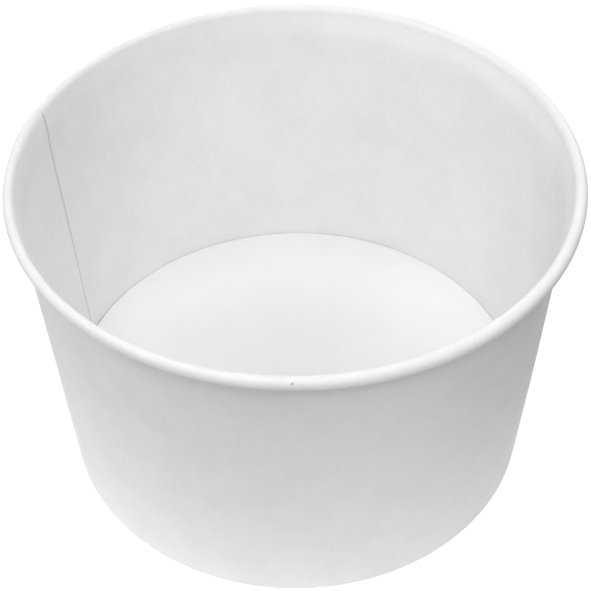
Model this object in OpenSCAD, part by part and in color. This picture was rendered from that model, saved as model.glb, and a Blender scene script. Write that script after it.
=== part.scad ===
// Paper soup cup, made of two blanks of coated white board.
// The sidewall is one blank wound into a cone: its side edges lap in a seam, its top edge is rolled
// outwards into the rim, and its bottom edge is folded in and up as the heel.
// The bottom is a round disc with a drawn-down skirt, sealed between the wall and the folded heel.
// The cup's axis is Z and the heel stands on z = 0. Lengths are millimetres and angles are degrees.

/* [Cup] */
// Outer diameter over the rolled rim
rim_d = 115; // [108:0.5:130]
// Height from the table to the top of the rim
cup_h = 71.5; // [55:0.5:110]
// Outer diameter of the wall, taken straight down to the table
base_d = 99.7; // [86:0.1:106]
// Height of the bottom's upper face above the table
floor_z = 8.8; // [6:0.1:14]

/* [Board] */
// Thickness of the sidewall's board
wall_t = 0.45; // [0.34:0.01:0.6]
// Thickness of the bottom's board
disc_t = 0.35; // [0.25:0.01:0.5]

/* [Rolled rim] */
// Diameter of the roll
roll_d = 2.8; // [2.3:0.05:3.8]
// Air left between the turns of the roll
roll_gap = 0.05; // [0.03:0.01:0.12]
// How far the board's top edge turns on inside the roll, past one full turn
roll_end_turn = 110; // [30:5:150]

/* [Heel and bottom] */
// Inner radius of the two bends at the foot of the heel
fold_bend = 0.05; // [0.03:0.01:0.12]
// Inner radius of the bend between the disc and its skirt
skirt_bend = 0.15; // [0.1:0.05:1.2]
// Space between the skirt's lower edge and the heel's fold
skirt_gap = 0.5; // [0.2:0.1:1.5]
// Space between the heel's cut edge and the underside of the disc
heel_gap = 1.1; // [0.6:0.1:2.5]

/* [Side seam] */
// Azimuth of the cut edge that shows inside, counter-clockwise from +X
seam_az = 160.7; // [0:0.1:360]
// Width of the lap
lap_w = 8; // [5:0.5:14]
// Length over which the board steps out to pass behind that edge
step_w = 8; // [5:0.5:14]

/* [Hidden] */
$fn = 96;
// Largest turn between two points of a bent outline
arc_step = 12;
roll_r = roll_d / 2;
// Each half turn of the roll is this much tighter than the one before it
roll_pitch = (wall_t + roll_gap) / 2;
roll_c = [rim_d / 2 - roll_r, cup_h - roll_r];
roll_c2 = roll_c + [roll_pitch, 0];
// The wall's outer face runs from the table to where it touches the inside of the roll's first turn
foot = [base_d / 2, 0];
roll_reach = norm(roll_c - foot);
taper = atan2(roll_c[0] - foot[0], roll_c[1]) - asin((roll_r - wall_t) / roll_reach);
wall_len = sqrt(pow(roll_reach, 2) - pow(roll_r - wall_t, 2));
// Wall, skirt and heel lie against each other: these are depths below the wall's outer face
heel_u = wall_t + disc_t;
heel_w = heel_u + wall_t;
fold_r = fold_bend + wall_t;
bend_r = skirt_bend + disc_t;
disc_z = floor_z - disc_t;
// Heights between which the seam's lap stands out, up into the hollow beside the roll,
// and between which its inner step is open
lap_z = [fold_r, roll_c[1] - 0.75 * roll_r];
step_z = [floor_z, lap_z[1] - wall_t];
seam_r = roll_c[0] - roll_r;
lap_a = lap_w / seam_r * 180 / PI;
step_a = step_w / seam_r * 180 / PI;
step_az = seam_az - step_a;
// The step starts and ends in a crease this deep
crease = 0.04;
step_turn = asin((wall_t - 2 * crease) / (seam_r * sin(step_a)));
// The stepped board runs on past the seam's edge by this angle, inside the lap
lip_a = 0.4;
// The lap reaches this deep into the layer it is sealed to
bite = 0.15;

// A point of the section: u is the depth below the wall's outer face, v runs up along that face
function at(u, v) = foot + v * [sin(taper), cos(taper)] + u * [-cos(taper), sin(taper)];

// The distance v at which depth u reaches height z
function up_to(u, z) = (z - u * sin(taper)) / cos(taper);

// Points of an arc about c from angle a0 to angle a1
function arc(c, r, a0, a1) =
    let (n = ceil(abs(a1 - a0) / arc_step))
    [for (i = [0 : n]) let (a = a0 + (a1 - a0) * i / n) c + r * [cos(a), sin(a)]];

// One side of the rolled rim, at the given depth in the board: 0 is its outer face
function roll_side(depth) =
    let (r = roll_r - wall_t + depth)
    concat(
        arc(roll_c, r, 180 - taper, 0),
        arc(roll_c2, r - roll_pitch, -arc_step, -180),
        arc(roll_c, r - 2 * roll_pitch, 180 - arc_step, 180 - roll_end_turn));

// One side of the heel, from its cut edge down round the two bends and up to the wall
function heel_side(depth) =
    let (
        r = fold_r - depth,
        inner_c = at(heel_w - fold_r, up_to(heel_w - fold_r, fold_r)),
        outer_c = at(fold_r, up_to(fold_r, fold_r)))
    concat(
        [at(heel_w - depth, up_to(heel_w, disc_z - heel_gap))],
        arc(inner_c, r, 180 - taper, 270),
        arc(outer_c, r, 270, 360 - taper));

// Points listed from last to first
function backwards(points) = [for (i = [len(points) - 1 : -1 : 0]) points[i]];

// The board's section from the cut edge of the heel to the cut edge inside the roll
module wall_section() {
    polygon(concat(
        heel_side(0), roll_side(0),
        backwards(roll_side(wall_t)), backwards(heel_side(wall_t))));
}

// Part of the wall, from depth u0 to depth u1, between two heights and two azimuths
module wall_part(u0, u1, z, az0, az1) {
    rotate_extrude(start = az0, angle = az1 - az0) polygon([
        at(u0, up_to(u0, z[0])), at(u0, up_to(u0, z[1])),
        at(u1, up_to(u1, z[1])), at(u1, up_to(u1, z[0]))]);
}

// Turns its child outwards about the wall's outer face, at the azimuth where the step starts
module step_out() {
    hinge = foot[0] * [cos(step_az), sin(step_az), 0];
    run = [sin(taper) * cos(step_az), sin(taper) * sin(step_az), cos(taper)];
    translate(hinge) rotate(a = -step_turn, v = run) translate(-hinge) children();
}

// One blank: the wall with its rolled rim, folded heel and lapped seam
module sidewall() {
    color("#f4f4f2") difference() {
        union() {
            rotate_extrude() wall_section();
            step_out() wall_part(-crease, wall_t - crease, lap_z, step_az, seam_az + lip_a);
            wall_part(-wall_t, bite, lap_z, seam_az, seam_az + lap_a);
        }
        step_out() wall_part(wall_t - crease, 3 * wall_t, step_z, step_az, seam_az);
    }
}

// One blank: the flat bottom and its skirt, which follows the wall's taper
module bottom_disc() {
    bend_u = wall_t + bend_r;
    bend_c = at(bend_u, up_to(bend_u, floor_z - bend_r));
    skirt_foot = up_to(wall_t, wall_t + skirt_gap);
    color("#fafaf8") rotate_extrude() polygon(concat(
        [[0, disc_z]],
        arc(bend_c, skirt_bend, 90, -taper),
        [at(heel_u, skirt_foot), at(wall_t, skirt_foot)],
        arc(bend_c, bend_r, -taper, 90),
        [[0, floor_z]]));
}

sidewall();
bottom_disc();
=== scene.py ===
# A paper soup cup, open and empty, seen from above on a white table.
# It is made as the real one is, of two blanks of white board: the sidewall, wound into a cone with
# a rolled rim, a lapped seam and a folded heel, and the bottom with its drawn-down skirt.
import math

import bpy
from mathutils import Matrix, Vector, noise


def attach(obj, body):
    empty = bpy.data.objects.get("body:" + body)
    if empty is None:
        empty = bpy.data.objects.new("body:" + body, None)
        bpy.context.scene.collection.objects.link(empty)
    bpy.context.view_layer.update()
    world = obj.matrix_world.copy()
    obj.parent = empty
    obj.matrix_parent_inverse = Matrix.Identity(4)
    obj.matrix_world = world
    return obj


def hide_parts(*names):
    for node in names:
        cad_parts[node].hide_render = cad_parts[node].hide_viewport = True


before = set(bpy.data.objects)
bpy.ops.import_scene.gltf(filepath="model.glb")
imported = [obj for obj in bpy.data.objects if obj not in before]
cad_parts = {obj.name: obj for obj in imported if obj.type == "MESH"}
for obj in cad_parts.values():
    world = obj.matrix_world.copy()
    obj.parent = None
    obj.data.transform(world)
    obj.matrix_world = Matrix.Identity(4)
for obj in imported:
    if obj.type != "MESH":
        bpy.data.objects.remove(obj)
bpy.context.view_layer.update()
print("frame loaded with", ", ".join(sorted(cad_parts)))

mm = 0.001  # sizes are written in millimetres and the scene is in metres


# The linear colour of an sRGB hex value
def linearColour(hexColour):
    channels = [int(hexColour[i:i + 2], 16) / 255 for i in (1, 3, 5)]
    return [c / 12.92 if c <= 0.04045 else ((c + 0.055) / 1.055) ** 2.4 for c in channels] + [1.0]


# Adds a node with its settings; an input is a value or another node's output
def addNode(tree, kind, settings=None, inputs=None):
    node = tree.nodes.new(kind)
    for name, value in (settings or {}).items():
        setattr(node, name, value)
    for name, value in (inputs or {}).items():
        if isinstance(value, bpy.types.NodeSocket):
            tree.links.new(value, node.inputs[name])
        else:
            node.inputs[name].default_value = value
    return node


# 0 below start, 1 above end and a soft step between; start may be the larger one
def softStep(start, end, value):
    share = min(max((value - start) / (end - start), 0.0), 1.0)
    return share * share * (3 - 2 * share)


def mix(a, b, share):
    return [x + (y - x) * share for x, y in zip(a, b)]


# Evenly spaced values from start up to end, without end itself
def evenly(start, end, count):
    return [start + (end - start) * i / count for i in range(count)]


# Camera, at the photograph's viewing angle. Its place is in metres and its angles are in degrees.
cameraView = {
    "place": (0.0, -0.24063, 0.27210),
    "tiltFromDown": 45.54,
    "roll": -0.54,
    "lens": 96.48,
    "sensor": 36.0,
}

camera = bpy.data.objects.new("camera", bpy.data.cameras.new("camera"))
camera.data.lens = cameraView["lens"]
camera.data.sensor_width = cameraView["sensor"]
camera.data.clip_start = 0.01
camera.matrix_world = (
    Matrix.Translation(cameraView["place"])
    @ Matrix.Rotation(math.radians(cameraView["tiltFromDown"]), 4, "X")
    @ Matrix.Rotation(math.radians(cameraView["roll"]), 4, "Z"))
bpy.context.scene.collection.objects.link(camera)
bpy.context.scene.camera = camera
print("camera placed")


# Bleached cup board: chemical pulp pressed smooth between rollers, with a thin matt film on the
# side that holds the food. To the eye it is an even, slightly soft white without gloss. Close up
# it shows a faint cloudiness from clumps of fibre, and single fibres as a fine nap.
boardLook = {
    "colour": "#F4F4F3",
    "cloudColour": "#F1F1F0",
    "cloudSize": 9.0,  # clumps of fibre
    "fleckSize": 0.8,  # single fibres are finer than a pixel, so they are drawn this wide
    "fleckShade": 0.05,
    "fleckDepth": 0.012,
    "filmRoughness": 0.55,
    "bareRoughness": 0.7,
    # painted shade along the seam's cut edges, for the shadow of its step and groove, with some of the
    # raw edge's own tone
    "seamShadeColour": "#B4B4B3",
    "seamWidth": (0.4, 1.0),  # of the seam's painted shade along the start of the blank and along its end
    "seamStrength": (0.5, 0.8),  # near the floor and near the rim, and where those are
    "seamHeights": (10.0, 60.0),
    "speckColour": "#B9B5B0",  # a small dark speck on the front of the rim
    "speckSize": 0.52,
    "speckPlace": (-0.69, -57.31, 70.99),
}


# Paints into the board's white a thin, uneven shade along the seam's cut edges: painted shadow of the
# small
# # step and groove there, with some of the raw edge's own greyer tone. The painted shade is stronger
# towards the rim.
def paintSeamShade(tree, look, place, flecks, white):
    gone = addNode(tree, "ShaderNodeAttribute", {"attribute_name": "fromCut"}).outputs["Fac"]
    layer = addNode(tree, "ShaderNodeAttribute", {"attribute_name": "turnShare"}).outputs["Fac"]
    shows = addNode(tree, "ShaderNodeAttribute", {"attribute_name": "shows"}).outputs["Fac"]
    isEnd = addNode(tree, "ShaderNodeMath", {"operation": "GREATER_THAN"}, {0: layer, 1: 0.5})
    reach = addNode(tree, "ShaderNodeMapRange", {}, {
        "Value": isEnd.outputs[0],
        "To Min": look["seamWidth"][0] * mm, "To Max": look["seamWidth"][1] * mm})
    nearness = addNode(tree, "ShaderNodeMath", {"operation": "DIVIDE"}, {
        0: gone, 1: reach.outputs[0]})
    height = addNode(tree, "ShaderNodeSeparateXYZ", {}, {0: place}).outputs["Z"]
    strength = addNode(tree, "ShaderNodeMapRange", {}, {
        "Value": height,
        "From Min": look["seamHeights"][0] * mm, "From Max": look["seamHeights"][1] * mm,
        "To Min": look["seamStrength"][0], "To Max": look["seamStrength"][1]})
    uneven = addNode(tree, "ShaderNodeMapRange", {}, {
        "Value": flecks, "From Min": 0.35, "From Max": 0.6, "To Min": 0.65, "To Max": 1.1})
    strength = addNode(tree, "ShaderNodeMath", {"operation": "MULTIPLY"}, {
        0: strength.outputs[0], 1: uneven.outputs[0]})
    shade = addNode(tree, "ShaderNodeMapRange", {"interpolation_type": "SMOOTHSTEP"}, {
        "Value": nearness.outputs[0], "From Min": 1.0, "From Max": 0.1,
        "To Min": 0.0, "To Max": strength.outputs[0]})
    shownShade = addNode(tree, "ShaderNodeMath", {"operation": "MULTIPLY"}, {
        0: shade.outputs[0], 1: shows})
    return addNode(tree, "ShaderNodeMix", {"data_type": "RGBA"}, {
        0: shownShade.outputs[0], 6: white, 7: linearColour(look["seamShadeColour"])}).outputs[2]


# Adds one small round speck with a soft edge
def addSpeck(tree, look, place, paint):
    radius = look["speckSize"] / 2 * mm
    fromSpeck = addNode(tree, "ShaderNodeVectorMath", {"operation": "DISTANCE"}, {
        0: place, 1: [c * mm for c in look["speckPlace"]]}).outputs["Value"]
    speck = addNode(tree, "ShaderNodeMapRange", {"interpolation_type": "SMOOTHSTEP"}, {
        "Value": fromSpeck, "From Min": radius * 1.3, "From Max": radius * 0.5})
    return addNode(tree, "ShaderNodeMix", {"data_type": "RGBA"}, {
        0: speck.outputs[0], 6: paint, 7: linearColour(look["speckColour"])}).outputs[2]


def makeBoard(name, look):
    material = bpy.data.materials.new(name)
    material.use_nodes = True
    tree = material.node_tree
    tree.nodes.clear()
    place = addNode(tree, "ShaderNodeTexCoord").outputs["Object"]
    clouds = addNode(tree, "ShaderNodeTexNoise", {}, {
        "Vector": place, "Scale": 1 / (look["cloudSize"] * mm), "Detail": 2.0, "Roughness": 0.6})
    flecks = addNode(tree, "ShaderNodeTexNoise", {}, {
        "Vector": place, "Scale": 1 / (look["fleckSize"] * mm), "Detail": 3.0, "Roughness": 0.65})
    cloudShare = addNode(tree, "ShaderNodeMapRange", {"interpolation_type": "SMOOTHSTEP"}, {
        "Value": clouds.outputs[0], "From Min": 0.35, "From Max": 0.7})
    white = addNode(tree, "ShaderNodeMix", {"data_type": "RGBA"}, {
        0: cloudShare.outputs[0],
        6: linearColour(look["colour"]),
        7: linearColour(look["cloudColour"])}).outputs[2]
    fleck = addNode(tree, "ShaderNodeMapRange", {}, {
        "Value": flecks.outputs[0], "From Min": 0.25, "From Max": 0.75,
        "To Min": 1.0 - look["fleckShade"], "To Max": 1.0})
    white = addNode(tree, "ShaderNodeVectorMath", {"operation": "SCALE"}, {
        0: white, "Scale": fleck.outputs[0]}).outputs[0]
    paint = white
    # Painted shade along the seam's cut edges
    if "seamShadeColour" in look:
        paint = paintSeamShade(tree, look, place, flecks.outputs[0], white)
    if "speckColour" in look:
        paint = addSpeck(tree, look, place, paint)
    film = addNode(tree, "ShaderNodeAttribute", {"attribute_name": "film"}).outputs["Fac"]
    roughness = addNode(tree, "ShaderNodeMapRange", {}, {
        "Value": film, "To Min": look["bareRoughness"], "To Max": look["filmRoughness"]})
    nap = addNode(tree, "ShaderNodeBump", {}, {
        "Height": flecks.outputs[0], "Distance": look["fleckDepth"] * mm, "Strength": 1.0})
    shader = addNode(tree, "ShaderNodeBsdfPrincipled", {}, {
        "Base Color": paint, "Roughness": roughness.outputs[0], "Normal": nap.outputs[0],
        "IOR": 1.5, "Specular IOR Level": 0.3})
    addNode(tree, "ShaderNodeOutputMaterial", {}, {"Surface": shader.outputs[0]})
    return material


# The sidewall: one blank of board, wound round so that its end laps behind its start
sidewallSize = {
    "rimDiameter": 115.0,  # over the roll
    "height": 71.5,
    "baseDiameter": 99.7,  # of the wall's outer face, taken straight down to the table
    "board": 0.45,
    "rollDiameter": 2.8,  # where the wall's straight line aims
    "rollWidth": 2.4,  # the roll itself is pressed a little upright, and the wall flares out to it
    "rollHeight": 3.0,
    "rollGap": 0.05,  # air between the turns of the roll
    "rollEndTurn": 110.0,  # degrees that the board turns on, past one full turn
    "foldBend": 0.05,  # inner radius of the heel's two bends
    "heldBoard": 0.35,  # the bottom's skirt, which the heel holds against the wall
    "tuckTop": 7.35,  # height of the heel's cut edge
    "drawnIn": 0.2,  # the wall's top part bends in by this much before it flares
    "flareHeight": 5.1,
    "lapNarrows": (62.0, 69.0),  # heights between which the lap is pressed flat for the roll
    "bendStep": 9.0,  # degrees between two points of a bend
    "seamAzimuth": 160.3,  # of the cut edge that shows inside
    "lap": 8.0,
    "step": 8.0,  # length over which the end of the blank steps out
    "lapSteps": 8,
    "straying": 0.35,  # how far the wall may stray from a true cone, and over what length
    "strayingLength": 60.0,
    "seed": 3.0,
    "rimOval": 0.2,  # how far the rim is out of round, and the azimuth of its long axis
    "rimOvalTurn": 53.0,
    "rimShift": (0.0, -0.05),  # the curling die was set a little off the wall's centre
    "wallShift": (-0.25, 0.0),
    "rollSpread": 0.33,  # the roll is this much wider on the right and narrower on the left
    "rollLobes": 0.15,  # and this much wider at azimuths 60, 180 and 300
}

# How the two layers share the space in the lap. Each is four shifts towards the outside of the
# wall, in boards: the lower layer's inner and outer face, then the upper layer's.
lapShapes = {
    "wall": (0.62, 0.62, 0.0, -0.40),
    "rim": (0.12, 0.0, -0.40, -0.90),
    "pressed": (0.50, 0.0, 0.0, -0.52),
}


# The wall's outer face as a straight line: where it meets the table, and how far it leans out
def wallLine(size):
    rollRadius = size["rollDiameter"] / 2
    rollCentre = Vector((size["rimDiameter"] / 2 - rollRadius, size["height"] - rollRadius))
    foot = Vector((size["baseDiameter"] / 2, 0.0))
    leanOfReach = math.atan2(rollCentre.x - foot.x, rollCentre.y)
    inset = rollRadius - size["board"]
    taper = leanOfReach - math.asin(inset / (rollCentre - foot).length)
    return foot, taper


# A point at a depth below the wall's outer face and a height above the table
def wallPoint(size, depth, height):
    foot, taper = wallLine(size)
    along = (height - depth * math.sin(taper)) / math.cos(taper)
    upWall = Vector((math.sin(taper), math.cos(taper)))
    outOfWall = Vector((math.cos(taper), -math.sin(taper)))
    return foot + along * upWall - depth * outOfWall


# The board's path from the heel's cut edge to the end of the roll. Each station has a point on the
# # board's outer face, the direction out of that face, the lap's shape, how freely the wall strays
# # there, how much of the seam's painted shade shows inside and outside, and its share in the rim.
def sidewallStations(size):
    board = size["board"]
    rollPitch = (board + size["rollGap"]) / 2
    taper = wallLine(size)[1]
    outOfWall = Vector((math.cos(taper), -math.sin(taper)))

    # The turns of a bend in degrees, each with its direction from the bend's middle
    def spokesBetween(start, end):
        count = math.ceil(abs(end - start) / size["bendStep"])
        turns = [start + (end - start) * i / count for i in range(count + 1)]
        return [(t, Vector((math.cos(math.radians(t)), math.sin(math.radians(t))))) for t in turns]

    stations = []
    lean = math.degrees(taper)
    foldRadius = size["foldBend"] + board
    heelDepth = 2 * board + size["heldBoard"]

    # The tuck, from its cut edge down
    for height in (size["tuckTop"], 5.7, 4.0, 2.8, 2.0, 1.4, 0.9):
        shape = mix(lapShapes["pressed"], lapShapes["wall"], softStep(0.8, 2.8, height))
        stations.append((wallPoint(size, heelDepth, height), -outOfWall, shape, 0.0, (0, 0), 0.0))

    # The two bends at the foot
    bends = ((heelDepth - foldRadius, 180 - lean, 270), (foldRadius, 270, 360 - lean))
    for depth, start, end in bends:
        centre = wallPoint(size, depth, foldRadius)
        for turn, spoke in spokesBetween(start, end):
            point = centre + foldRadius * spoke
            stations.append((point, spoke, lapShapes["pressed"], 0.0, (0, 0), 0.0))

    # The wall, drawn in a little and then flared out to the roll
    halfWidth = size["rollWidth"] / 2 - board
    halfHeight = size["rollHeight"] / 2 - board
    rollCentre = Vector((
        (size["rimDiameter"] - size["rollWidth"]) / 2, size["height"] - size["rollHeight"] / 2))
    wallTop = rollCentre.y + halfHeight * math.sin(taper)
    flare = rollCentre.x - halfWidth - wallPoint(size, 0.0, wallTop).x + size["drawnIn"]
    flareStart = wallTop - size["flareHeight"]
    flareEnd = wallTop + 0.6  # past the top, so that the flare runs on into the roll without a crease
    lapStart, lapEnd = size["lapNarrows"]
    heights = [0.9, 1.4, 2.0, 2.8, 4.0, 5.5, 7.0]
    heights += evenly(8.2, lapStart, 14) + evenly(lapStart, wallTop, 14)
    for height in heights:
        shape = mix(lapShapes["pressed"], lapShapes["wall"], softStep(0.8, 2.8, height))
        shape = mix(shape, lapShapes["rim"], softStep(lapStart, lapEnd, height))
        give = softStep(9.0, 30.0, height) * (1 - 0.7 * softStep(60.0, wallTop, height))
        point = wallPoint(size, 0.0, height)
        point.x -= size["drawnIn"] * softStep(20.0, 64.0, height)
        flared = softStep(flareStart, flareEnd, height) / softStep(flareStart, flareEnd, wallTop)
        point.x += flare * flared
        shows = (softStep(6.0, 7.5, height), 0.7)
        stations.append((point, outOfWall, shape, give, shows, softStep(63.0, wallTop, height)))

    # The roll, each half turn tighter than the one before
    halfTurns = (
        (rollCentre, 0, 180 - lean, 0.0),
        (rollCentre + Vector((rollPitch, 0.0)), 1, 0.0, -180.0),
        (rollCentre, 2, -180.0, -180.0 - size["rollEndTurn"]))
    for centre, number, start, end in halfTurns:
        across = halfWidth - number * rollPitch
        up = halfHeight - number * rollPitch
        for turn, spoke in spokesBetween(start, end)[min(number, 1):]:
            point = centre + Vector((across * spoke.x, up * spoke.y))
            out = Vector((-up * spoke.x, -across * spoke.y)).normalized()
            shape = mix(lapShapes["rim"], lapShapes["pressed"], softStep(-20.0, -110.0, turn))
            shows = ((0.2 + 0.8 * softStep(130.0, 170.0, turn)) * softStep(-60.0, -10.0, turn), 0)
            stations.append((point, out, shape, 0.3, shows, 1.0))
    return stations


# A closed loop of edges round the board's section, with what the winding needs at each point
def sidewallSection(size):
    board = size["board"]
    stations = sidewallStations(size)
    last = len(stations) - 1

    def sidePoint(number, isInner):
        point, out, shape, give, shows, rim = stations[number]
        return {
            "point": point - board * out if isInner else point,
            "out": out,
            "lower": shape[0] if isInner else shape[1],
            "upper": shape[2] if isInner else shape[3],
            "give": give,
            "shows": shows[0] if isInner else shows[1],
            "film": float(isInner),
            "cut": number in (0, last),
            "rim": rim,
        }

    # The outer face from the heel to the roll's end, then the inner face back
    numbers = range(len(stations))
    loop = [sidePoint(i, False) for i in numbers] + [sidePoint(i, True) for i in reversed(numbers)]
    count = len(loop)
    mesh = bpy.data.meshes.new("sidewallSection")
    mesh.from_pydata(
        [(entry["point"].x * mm, entry["point"].y * mm, 0.0) for entry in loop],
        [(i, (i + 1) % count) for i in range(count)], [])

    def store(name, kind, field, values):
        attribute = mesh.attributes.new(name, kind, "POINT")
        attribute.data.foreach_set(field, values)

    # Radius and height in millimetres as X and Z in metres, point after point
    def upright(vectors):
        return [c for v in vectors for c in (v.x * mm, 0.0, v.y * mm)]

    places = [entry["point"] for entry in loop]
    store("section", "FLOAT_VECTOR", "vector", upright(places))
    for layer in ("lower", "upper"):
        shifts = [entry["out"] * entry[layer] * board for entry in loop]
        store(layer + "Shift", "FLOAT_VECTOR", "vector", upright(shifts))
    for name in ("give", "shows", "film"):
        store(name, "FLOAT", "value", [entry[name] for entry in loop])
    store("cut", "BOOLEAN", "value", [entry["cut"] for entry in loop])

    # How far each point belongs to the rim, to the roll's outer side and to the leaning wall
    rollStart = size["rimDiameter"] / 2 - size["rollWidth"]
    rims = [entry["rim"] for entry in loop]
    across = [max(place.x - rollStart, 0.0) / size["rollWidth"] for place in places]
    store("rimShare", "FLOAT", "value", rims)
    store("rollShare", "FLOAT", "value", [rim * share for rim, share in zip(rims, across)])
    store("wallShare", "FLOAT", "value", [
        softStep(12.0, 60.0, place.y) * (1 - rim) for rim, place in zip(rims, places)])
    return mesh


# Winds a board's section round the cup's axis: the end of the blank steps out over the given
# angle and passes behind its start
def makeWindingTree():
    tree = bpy.data.node_groups.new("windBoard", "GeometryNodeTree")
    tree.is_modifier = True
    sockets = (
        ("Section", "NodeSocketGeometry"), ("Start", "NodeSocketFloat"), ("Lap", "NodeSocketFloat"),
        ("Step", "NodeSocketFloat"), ("Steps", "NodeSocketInt"), ("Straying", "NodeSocketFloat"),
        ("Straying Length", "NodeSocketFloat"), ("Seed", "NodeSocketFloat"),
        ("Rim Shift", "NodeSocketVector"), ("Wall Shift", "NodeSocketVector"),
        ("Rim Oval", "NodeSocketFloat"), ("Oval Turn", "NodeSocketFloat"),
        ("Roll Spread", "NodeSocketFloat"), ("Roll Lobes", "NodeSocketFloat"),
        ("Board", "NodeSocketMaterial"), ("Cut Edge", "NodeSocketMaterial"))
    for name, kind in sockets:
        tree.interface.new_socket(name=name, in_out="INPUT", socket_type=kind)
    tree.interface.new_socket(name="Mesh", in_out="OUTPUT", socket_type="NodeSocketGeometry")
    given = addNode(tree, "NodeGroupInput").outputs
    fullTurn = 2 * math.pi

    def calculate(operation, a, b=0.0):
        return addNode(tree, "ShaderNodeMath", {"operation": operation}, {0: a, 1: b}).outputs[0]

    def combine(operation, a, b=(0.0, 0.0, 0.0)):
        return addNode(tree, "ShaderNodeVectorMath", {"operation": operation}, {0: a, 1: b}).outputs[0]

    def scaled(vector, factor):
        settings = {"operation": "SCALE"}
        return addNode(tree, "ShaderNodeVectorMath", settings, {0: vector, "Scale": factor}).outputs[0]

    def stored(name, kind="FLOAT"):
        settings = {"data_type": kind}
        return addNode(tree, "GeometryNodeInputNamedAttribute", settings, {"Name": name}).outputs[0]

    # A straight rail carries the section; how far along it a point is becomes how far it is wound
    rail = addNode(tree, "GeometryNodeCurvePrimitiveLine", {}, {"End": (1.0, 0.0, 0.0)})
    points = calculate("ADD", given["Steps"], 1.0)
    rail = addNode(tree, "GeometryNodeResampleCurve", {}, {"Curve": rail.outputs[0], "Count": points})
    share = addNode(tree, "GeometryNodeSplineParameter").outputs["Factor"]
    rail = addNode(tree, "GeometryNodeStoreNamedAttribute", {}, {
        "Geometry": rail.outputs[0], "Name": "turnShare", "Value": share})
    profile = addNode(tree, "GeometryNodeMeshToCurve", {}, {"Mesh": given["Section"]})
    strip = addNode(tree, "GeometryNodeCurveToMesh", {}, {
        "Curve": rail.outputs[0], "Profile Curve": profile.outputs[0], "Fill Caps": True})

    # Shift the two layers in the lap, then wind
    wound = calculate("MULTIPLY", stored("turnShare"), calculate("ADD", given["Lap"], fullTurn))
    lower = addNode(tree, "ShaderNodeMapRange", {"interpolation_type": "SMOOTHSTEP"}, {
        "Value": wound, "From Min": calculate("SUBTRACT", fullTurn, given["Step"]),
        "From Max": fullTurn})
    upper = addNode(tree, "ShaderNodeMapRange", {"interpolation_type": "SMOOTHSTEP"}, {
        "Value": wound, "From Min": given["Lap"],
        "From Max": calculate("ADD", given["Lap"], given["Step"]),
        "To Min": 1.0, "To Max": 0.0})
    flat = combine("ADD", stored("section", "FLOAT_VECTOR"),
                   scaled(stored("lowerShift", "FLOAT_VECTOR"), lower.outputs[0]))
    flat = combine("ADD", flat, scaled(stored("upperShift", "FLOAT_VECTOR"), upper.outputs[0]))
    azimuth = calculate("ADD", given["Start"], wound)

    # The rim is a little oval, and the roll's width changes slowly round the cup
    fromLongAxis = calculate("SUBTRACT", azimuth, given["Oval Turn"])
    oval = calculate("COSINE", calculate("MULTIPLY", fromLongAxis, 2.0))
    oval = calculate("MULTIPLY", calculate("MULTIPLY", oval, given["Rim Oval"]), stored("rimShare"))
    spread = calculate("MULTIPLY", calculate("COSINE", azimuth), given["Roll Spread"])
    lobes = calculate("COSINE", calculate("MULTIPLY", azimuth, 3.0))
    spread = calculate("SUBTRACT", spread, calculate("MULTIPLY", lobes, given["Roll Lobes"]))
    spread = calculate("MULTIPLY", spread, stored("rollShare"))
    outwards = addNode(tree, "ShaderNodeCombineXYZ", {}, {"X": calculate("ADD", oval, spread)})
    flat = combine("ADD", flat, outwards.outputs[0])
    cone = addNode(tree, "ShaderNodeVectorRotate", {"rotation_type": "Z_AXIS"}, {
        "Vector": flat, "Angle": azimuth})

    # Board never makes a true cone: it strays a little outwards and inwards, and up and down
    wander = addNode(tree, "ShaderNodeTexNoise", {"noise_dimensions": "4D"}, {
        "Vector": cone.outputs[0], "W": given["Seed"], "Detail": 1.0,
        "Scale": calculate("DIVIDE", 1.0, given["Straying Length"])})
    wander = combine("SUBTRACT", wander.outputs["Color"], (0.5, 0.5, 0.5))
    wander = combine("MULTIPLY", wander, (2.0, 0.0, 1.0))
    wander = scaled(scaled(wander, given["Straying"]), stored("give"))
    wander = addNode(tree, "ShaderNodeVectorRotate", {"rotation_type": "Z_AXIS"}, {
        "Vector": wander, "Angle": azimuth})
    place = combine("ADD", cone.outputs[0], wander.outputs[0])
    place = combine("ADD", place, scaled(given["Rim Shift"], stored("rimShare")))
    place = combine("ADD", place, scaled(given["Wall Shift"], stored("wallShare")))
    board = addNode(tree, "GeometryNodeSetPosition", {}, {
        "Geometry": strip.outputs[0], "Position": place})
    board = addNode(tree, "GeometryNodeFlipFaces", {}, {"Mesh": board.outputs[0]})

    # Distance from the cut edge that shows, for the seam's painted shade: the blank's start shows inside
    # # and its end outside
    edge = calculate("MULTIPLY", calculate("SUBTRACT", 1.0, stored("film")), given["Lap"])
    beforeEdge = calculate("ABSOLUTE", calculate("SUBTRACT", wound, edge))
    pastEdge = calculate("ABSOLUTE", calculate("SUBTRACT", calculate("SUBTRACT", wound, edge), fullTurn))
    radius = addNode(tree, "ShaderNodeSeparateXYZ", {}, {0: stored("section", "FLOAT_VECTOR")})
    fromCut = calculate("MULTIPLY", calculate("MINIMUM", beforeEdge, pastEdge), radius.outputs[0])
    board = addNode(tree, "GeometryNodeStoreNamedAttribute", {}, {
        "Geometry": board.outputs[0], "Name": "fromCut", "Value": fromCut})

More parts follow.
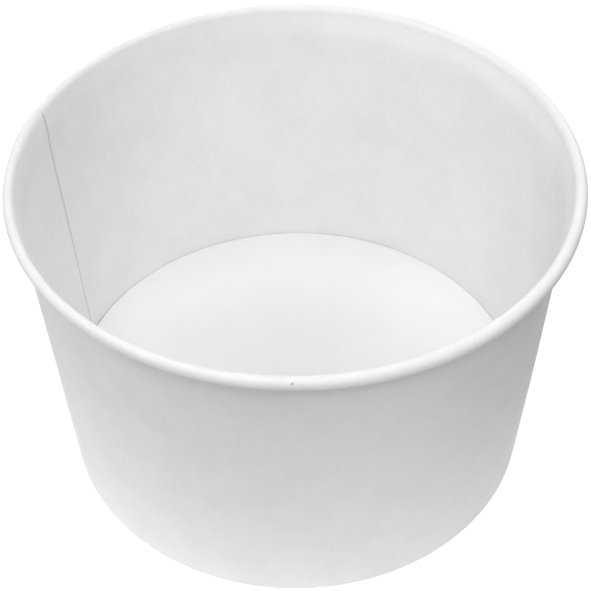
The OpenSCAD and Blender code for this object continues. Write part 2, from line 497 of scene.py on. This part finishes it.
    # Soft shading, but for the cut edges
    smooth = addNode(tree, "GeometryNodeSetShadeSmooth", {"domain": "FACE"}, {
        "Geometry": board.outputs[0], "Shade Smooth": True})
    angle = addNode(tree, "GeometryNodeInputMeshEdgeAngle").outputs["Unsigned Angle"]
    sharp = calculate("GREATER_THAN", angle, math.radians(40))
    smooth = addNode(tree, "GeometryNodeSetShadeSmooth", {"domain": "EDGE"}, {
        "Geometry": smooth.outputs[0], "Selection": sharp, "Shade Smooth": False})
    corners = addNode(tree, "GeometryNodeInputMeshFaceNeighbors").outputs["Vertex Count"]
    isEnd = addNode(tree, "FunctionNodeCompare", {"data_type": "INT", "operation": "GREATER_THAN"}, {
        2: corners, 3: 4}).outputs[0]
    isCut = addNode(tree, "FunctionNodeBooleanMath", {"operation": "OR"}, {
        0: isEnd, 1: stored("cut", "BOOLEAN")})
    real = addNode(tree, "GeometryNodeRealizeInstances", {}, {"Geometry": smooth.outputs[0]})
    dressed = addNode(tree, "GeometryNodeSetMaterial", {}, {
        "Geometry": real.outputs[0], "Material": given["Board"]})
    dressed = addNode(tree, "GeometryNodeSetMaterial", {}, {
        "Geometry": dressed.outputs[0], "Selection": isCut.outputs[0], "Material": given["Cut Edge"]})
    addNode(tree, "NodeGroupOutput", {}, {"Mesh": dressed.outputs[0]})
    return tree


# Raw cut edge: the board's core without film or filler. It is rougher than the faces and a little
# darker and warmer, because light sinks in between the cut fibres.
def makeCutEdge():
    material = bpy.data.materials.new("cutBoardEdge")
    material.use_nodes = True
    tree = material.node_tree
    tree.nodes.clear()
    place = addNode(tree, "ShaderNodeTexCoord").outputs["Object"]
    fibres = addNode(tree, "ShaderNodeTexNoise", {}, {
        "Vector": place, "Scale": 1 / (0.3 * mm), "Detail": 3.0})
    tone = addNode(tree, "ShaderNodeMix", {"data_type": "RGBA"}, {
        0: fibres.outputs[0], 6: linearColour("#DEDCD7"), 7: linearColour("#F0EEEA")})
    nap = addNode(tree, "ShaderNodeBump", {}, {"Height": fibres.outputs[0], "Distance": 0.04 * mm})
    shader = addNode(tree, "ShaderNodeBsdfPrincipled", {}, {
        "Base Color": tone.outputs[2], "Roughness": 0.9, "Normal": nap.outputs[0],
        "Specular IOR Level": 0.2})
    addNode(tree, "ShaderNodeOutputMaterial", {}, {"Surface": shader.outputs[0]})
    return material


sidewallBoard = makeBoard("filmedCupBoard", boardLook)
cutEdge = makeCutEdge()
windTree = makeWindingTree()
seamRadius = sidewallSize["rimDiameter"] / 2 - sidewallSize["rollDiameter"]
lapAngle = sidewallSize["lap"] / seamRadius
turnSteps = round(2 * math.pi * sidewallSize["lapSteps"] / lapAngle)
windStep = 2 * math.pi / turnSteps

blank = bpy.data.objects.new("sidewallBlank", sidewallSection(sidewallSize))
bpy.context.scene.collection.objects.link(blank)
winding = blank.modifiers.new("winding", "NODES")
winding.node_group = windTree
windingInputs = {
    "Start": math.radians(sidewallSize["seamAzimuth"]),
    "Lap": sidewallSize["lapSteps"] * windStep,
    "Step": sidewallSize["step"] / seamRadius,
    "Steps": turnSteps + sidewallSize["lapSteps"],
    "Straying": sidewallSize["straying"] * mm,
    "Straying Length": sidewallSize["strayingLength"] * mm,
    "Seed": sidewallSize["seed"],
    "Rim Shift": [*(c * mm for c in sidewallSize["rimShift"]), 0.0],
    "Wall Shift": [*(c * mm for c in sidewallSize["wallShift"]), 0.0],
    "Rim Oval": sidewallSize["rimOval"] * mm,
    "Oval Turn": math.radians(sidewallSize["rimOvalTurn"]),
    "Roll Spread": sidewallSize["rollSpread"] * mm,
    "Roll Lobes": sidewallSize["rollLobes"] * mm,
    "Board": sidewallBoard,
    "Cut Edge": cutEdge,
}
for item in windTree.interface.items_tree:
    if item.in_out == "INPUT" and item.name in windingInputs:
        winding[item.identifier] = windingInputs[item.name]
evaluated = blank.evaluated_get(bpy.context.evaluated_depsgraph_get())
wallMesh = bpy.data.meshes.new_from_object(evaluated)
blank.modifiers.remove(winding)
bpy.data.objects.remove(blank)
wall = bpy.data.objects.new("wound_sidewall", wallMesh)
bpy.context.scene.collection.objects.link(wall)
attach(wall, "root")
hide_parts("sidewall")
print("sidewall wound,", len(wallMesh.vertices), "points")


# The bottom: a round blank with its edge drawn down into a skirt
bottomSize = {
    "floorHeight": 8.8,
    "board": 0.35,
    "skirtBend": 0.1,  # inner radius of the bend
    "skirtFoot": 0.95,
    "clearance": 0.02,  # keeps the skirt's faces just off the wall and the heel
    "warp": 0.35,  # how far the disc may stray from flat, and over what length
    "warpLength": 38.0,
    "seed": (3.1, 7.4, 1.2),
}


# The section of the bottom from its middle out along the upper face, down the skirt, and back
def bottomSection(size, wallSize):
    board = size["board"]
    top = size["floorHeight"]
    gap = size["clearance"]
    wallBoard = wallSize["board"]
    lean = math.degrees(wallLine(wallSize)[1])
    bendRadius = size["skirtBend"] + board
    centre = wallPoint(wallSize, wallBoard + bendRadius, top - bendRadius)
    radii = [3.0, 8.0, 13.0, 18.0, 23.0, 28.0, 33.0, 37.0, 41.0, 44.0, 46.5]
    turns = [90 - (90 + lean) * i / 8 for i in range(9)]

    def bend(radius, slack):
        points = []
        for turn in turns:
            inset = slack * (90 - turn) / (90 + lean)
            angle = math.radians(turn)
            points.append(centre + (radius - inset) * Vector((math.cos(angle), math.sin(angle))))
        return points

    outer = [Vector((r, top)) for r in radii] + bend(bendRadius, gap)
    inner = [Vector((r, top - board)) for r in radii] + bend(size["skirtBend"], -gap)
    for height in (5.5, 3.2, size["skirtFoot"]):
        outer.append(wallPoint(wallSize, wallBoard + gap, height))
        inner.append(wallPoint(wallSize, wallBoard + board - gap, height))
    return outer + inner[::-1]


# Turns the section round the axis, with the disc a little out of flat
def makeBottom(size, wallSize, around):
    section = bottomSection(size, wallSize)
    top = size["floorHeight"]
    seed = Vector(size["seed"])
    points = []

    def warped(x, y, z):
        freedom = softStep(size["skirtFoot"], top - 1.0, z)
        freedom *= 0.45 + 0.55 * softStep(48.0, 38.0, math.hypot(x, y))
        offset = size["warp"] * noise.noise(Vector((x, y, 0.0)) / size["warpLength"] + seed)
        return (x * mm, y * mm, (z + freedom * offset) * mm)

    for spoke in range(around):
        angle = 2 * math.pi * spoke / around
        for r, z in section:
            points.append(warped(r * math.cos(angle), r * math.sin(angle), z))
    count = len(section)
    faces = []
    for spoke in range(around):
        here = spoke * count
        there = (spoke + 1) % around * count
        for i in range(count - 1):
            faces.append((here + i, here + i + 1, there + i + 1, there + i))
    topPole = len(points)
    points += [warped(0.0, 0.0, top), warped(0.0, 0.0, top - size["board"])]
    for spoke in range(around):
        here = spoke * count
        there = (spoke + 1) % around * count
        faces.append((topPole, here, there))
        faces.append((topPole + 1, there + count - 1, here + count - 1))
    mesh = bpy.data.meshes.new("bottom_with_skirt")
    mesh.from_pydata(points, [], faces)
    film = mesh.attributes.new("film", "FLOAT", "POINT")
    filmed = [1.0 if i < count // 2 else 0.0 for i in range(count)] * around + [1.0, 0.0]
    film.data.foreach_set("value", filmed)
    mesh.shade_smooth()
    mesh.set_sharp_from_angle(angle=math.radians(40))
    return mesh


# The disc is pressed flat and smooth, so its flecks and clouds are fainter. It has no seam or speck.
bottomLook = {key: value for key, value in boardLook.items() if not key.startswith(("seam", "speck"))}
bottomLook["fleckShade"] = 0.012
bottomLook["cloudColour"] = "#F2F2F1"
bottomLook["cloudSize"] = 16.0
bottomBoard = makeBoard("filmedBottomBoard", bottomLook)
bottomMesh = makeBottom(bottomSize, sidewallSize, turnSteps)
bottomMesh.materials.append(bottomBoard)
bottom = bpy.data.objects.new("bottom_with_skirt", bottomMesh)
bpy.context.scene.collection.objects.link(bottom)
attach(bottom, "root")
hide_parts("bottom_disc")
print("bottom made,", len(bottomMesh.vertices), "points")


# The table: to the camera it is white, with the cup's soft shadow left. The light that it sends
# up comes from a white sheet just under the cup, as on a photographer's table, so the outside of
# the cup is lightest near its foot.
tableLook = {
    "width": 4000.0,
    "below": 0.05,  # under the heel, so that the two don't share a face
    "colour": "#F2F2F2",
    "lift": (0.4, 1.0),  # light added for the camera and for reflections only, near and far
    "liftReach": (150.0, 450.0),  # the lamps light only the middle of the table
    "sheetEdge": (95.0, 125.0),  # where the sheet's colour fades into the dark room's
    "roomColour": "#454545",
}

tableMesh = bpy.data.meshes.new("table")
half = tableLook["width"] / 2 * mm
level = -tableLook["below"] * mm
tableMesh.from_pydata(
    [(-half, -half, level), (half, -half, level), (half, half, level), (-half, half, level)],
    [], [(0, 1, 2, 3)])
table = bpy.data.objects.new("table", tableMesh)
bpy.context.scene.collection.objects.link(table)
tablePaper = bpy.data.materials.new("whiteTablePaper")
tablePaper.use_nodes = True
tree = tablePaper.node_tree
tree.nodes.clear()


# 1 for the rays of the camera, reflections and glass, and 0 for the light's own bounces
def seenDirectly(tree):
    ray = addNode(tree, "ShaderNodeLightPath")
    seen = ray.outputs["Is Camera Ray"]
    for kind in ("Is Glossy Ray", "Is Transmission Ray"):
        seen = addNode(tree, "ShaderNodeMath", {"operation": "MAXIMUM"}, {
            0: seen, 1: ray.outputs[kind]}).outputs[0]
    return seen


seen = seenDirectly(tree)
place = addNode(tree, "ShaderNodeTexCoord").outputs["Object"]
fromCup = addNode(tree, "ShaderNodeVectorMath", {"operation": "LENGTH"}, {0: place}).outputs["Value"]
pastSheet = addNode(tree, "ShaderNodeMapRange", {"interpolation_type": "SMOOTHSTEP"}, {
    "Value": fromCup, "From Min": tableLook["sheetEdge"][0] * mm,
    "From Max": tableLook["sheetEdge"][1] * mm})
sheet = addNode(tree, "ShaderNodeMix", {"data_type": "RGBA"}, {
    0: pastSheet.outputs[0],
    6: linearColour(tableLook["colour"]), 7: linearColour(tableLook["roomColour"])}).outputs[2]
colour = addNode(tree, "ShaderNodeMix", {"data_type": "RGBA"}, {
    0: seen, 6: sheet, 7: linearColour(tableLook["colour"])}).outputs[2]
farther = addNode(tree, "ShaderNodeMapRange", {"interpolation_type": "SMOOTHSTEP"}, {
    "Value": fromCup, "From Min": tableLook["liftReach"][0] * mm,
    "From Max": tableLook["liftReach"][1] * mm,
    "To Min": tableLook["lift"][0], "To Max": tableLook["lift"][1]})
lift = addNode(tree, "ShaderNodeMath", {"operation": "MULTIPLY"}, {0: seen, 1: farther.outputs[0]})
matt = addNode(tree, "ShaderNodeBsdfDiffuse", {}, {"Color": colour})
glow = addNode(tree, "ShaderNodeEmission", {}, {"Strength": lift.outputs[0]})
both = addNode(tree, "ShaderNodeAddShader", {}, {0: matt.outputs[0], 1: glow.outputs[0]})
addNode(tree, "ShaderNodeOutputMaterial", {}, {"Surface": both.outputs[0]})
tableMesh.materials.append(tablePaper)


# Light: round soft boxes. Azimuth 0 is behind the camera and 90 is to the right; distance and
# width are in metres. The three low ones stand close to the table.
softBoxes = {
    "aboveFront": {"azimuth": 0, "elevation": 62, "distance": 0.9, "width": 0.5, "watts": 3.28},
    "aboveBack": {"azimuth": 180, "elevation": 78, "distance": 0.9, "width": 0.3, "watts": 1.41},
    "frontLeft": {"azimuth": -30, "elevation": 35, "distance": 0.9, "width": 0.5, "watts": 1.61},
    "left": {"azimuth": -90, "elevation": 35, "distance": 0.9, "width": 0.5, "watts": 1.54},
    "right": {"azimuth": 60, "elevation": 35, "distance": 0.9, "width": 0.5, "watts": 1.53},
    "backRight": {"azimuth": 150, "elevation": 35, "distance": 0.9, "width": 0.5, "watts": 2.05},
    "lowFront": {"azimuth": 0, "elevation": 8, "distance": 0.45, "width": 0.2, "watts": 0.24},
    "lowLeft": {"azimuth": -90, "elevation": 8, "distance": 0.45, "width": 0.2, "watts": 0.32},
    "lowBack": {"azimuth": 180, "elevation": 8, "distance": 0.45, "width": 0.2, "watts": 0.63},
}
aim = Vector((0.0, 0.0, 0.04))


def addSoftBox(name, box):
    turn = math.radians(box["azimuth"])
    rise = math.radians(box["elevation"])
    back = Vector((math.sin(turn) * math.cos(rise), -math.cos(turn) * math.cos(rise), math.sin(rise)))
    lamp = bpy.data.lights.new(name, "AREA")
    lamp.shape = "DISK"
    lamp.size = box["width"]
    lamp.energy = box["watts"]
    holder = bpy.data.objects.new(name, lamp)
    holder.location = aim + back * box["distance"]
    holder.rotation_mode = "QUATERNION"
    holder.rotation_quaternion = back.to_track_quat("Z", "Y")
    holder.visible_camera = False
    bpy.context.scene.collection.objects.link(holder)


for name, box in softBoxes.items():
    addSoftBox(name, box)

room = bpy.data.worlds.new("whiteRoom")
bpy.context.scene.world = room
room.use_nodes = True
tree = room.node_tree
tree.nodes.clear()
glow = addNode(tree, "ShaderNodeBackground", {}, {
    "Color": (1.0, 1.0, 1.0, 1.0), "Strength": seenDirectly(tree)})
addNode(tree, "ShaderNodeOutputWorld", {}, {"Surface": glow.outputs[0]})
bpy.context.scene.view_settings.view_transform = "Standard"
print("table and light ready")
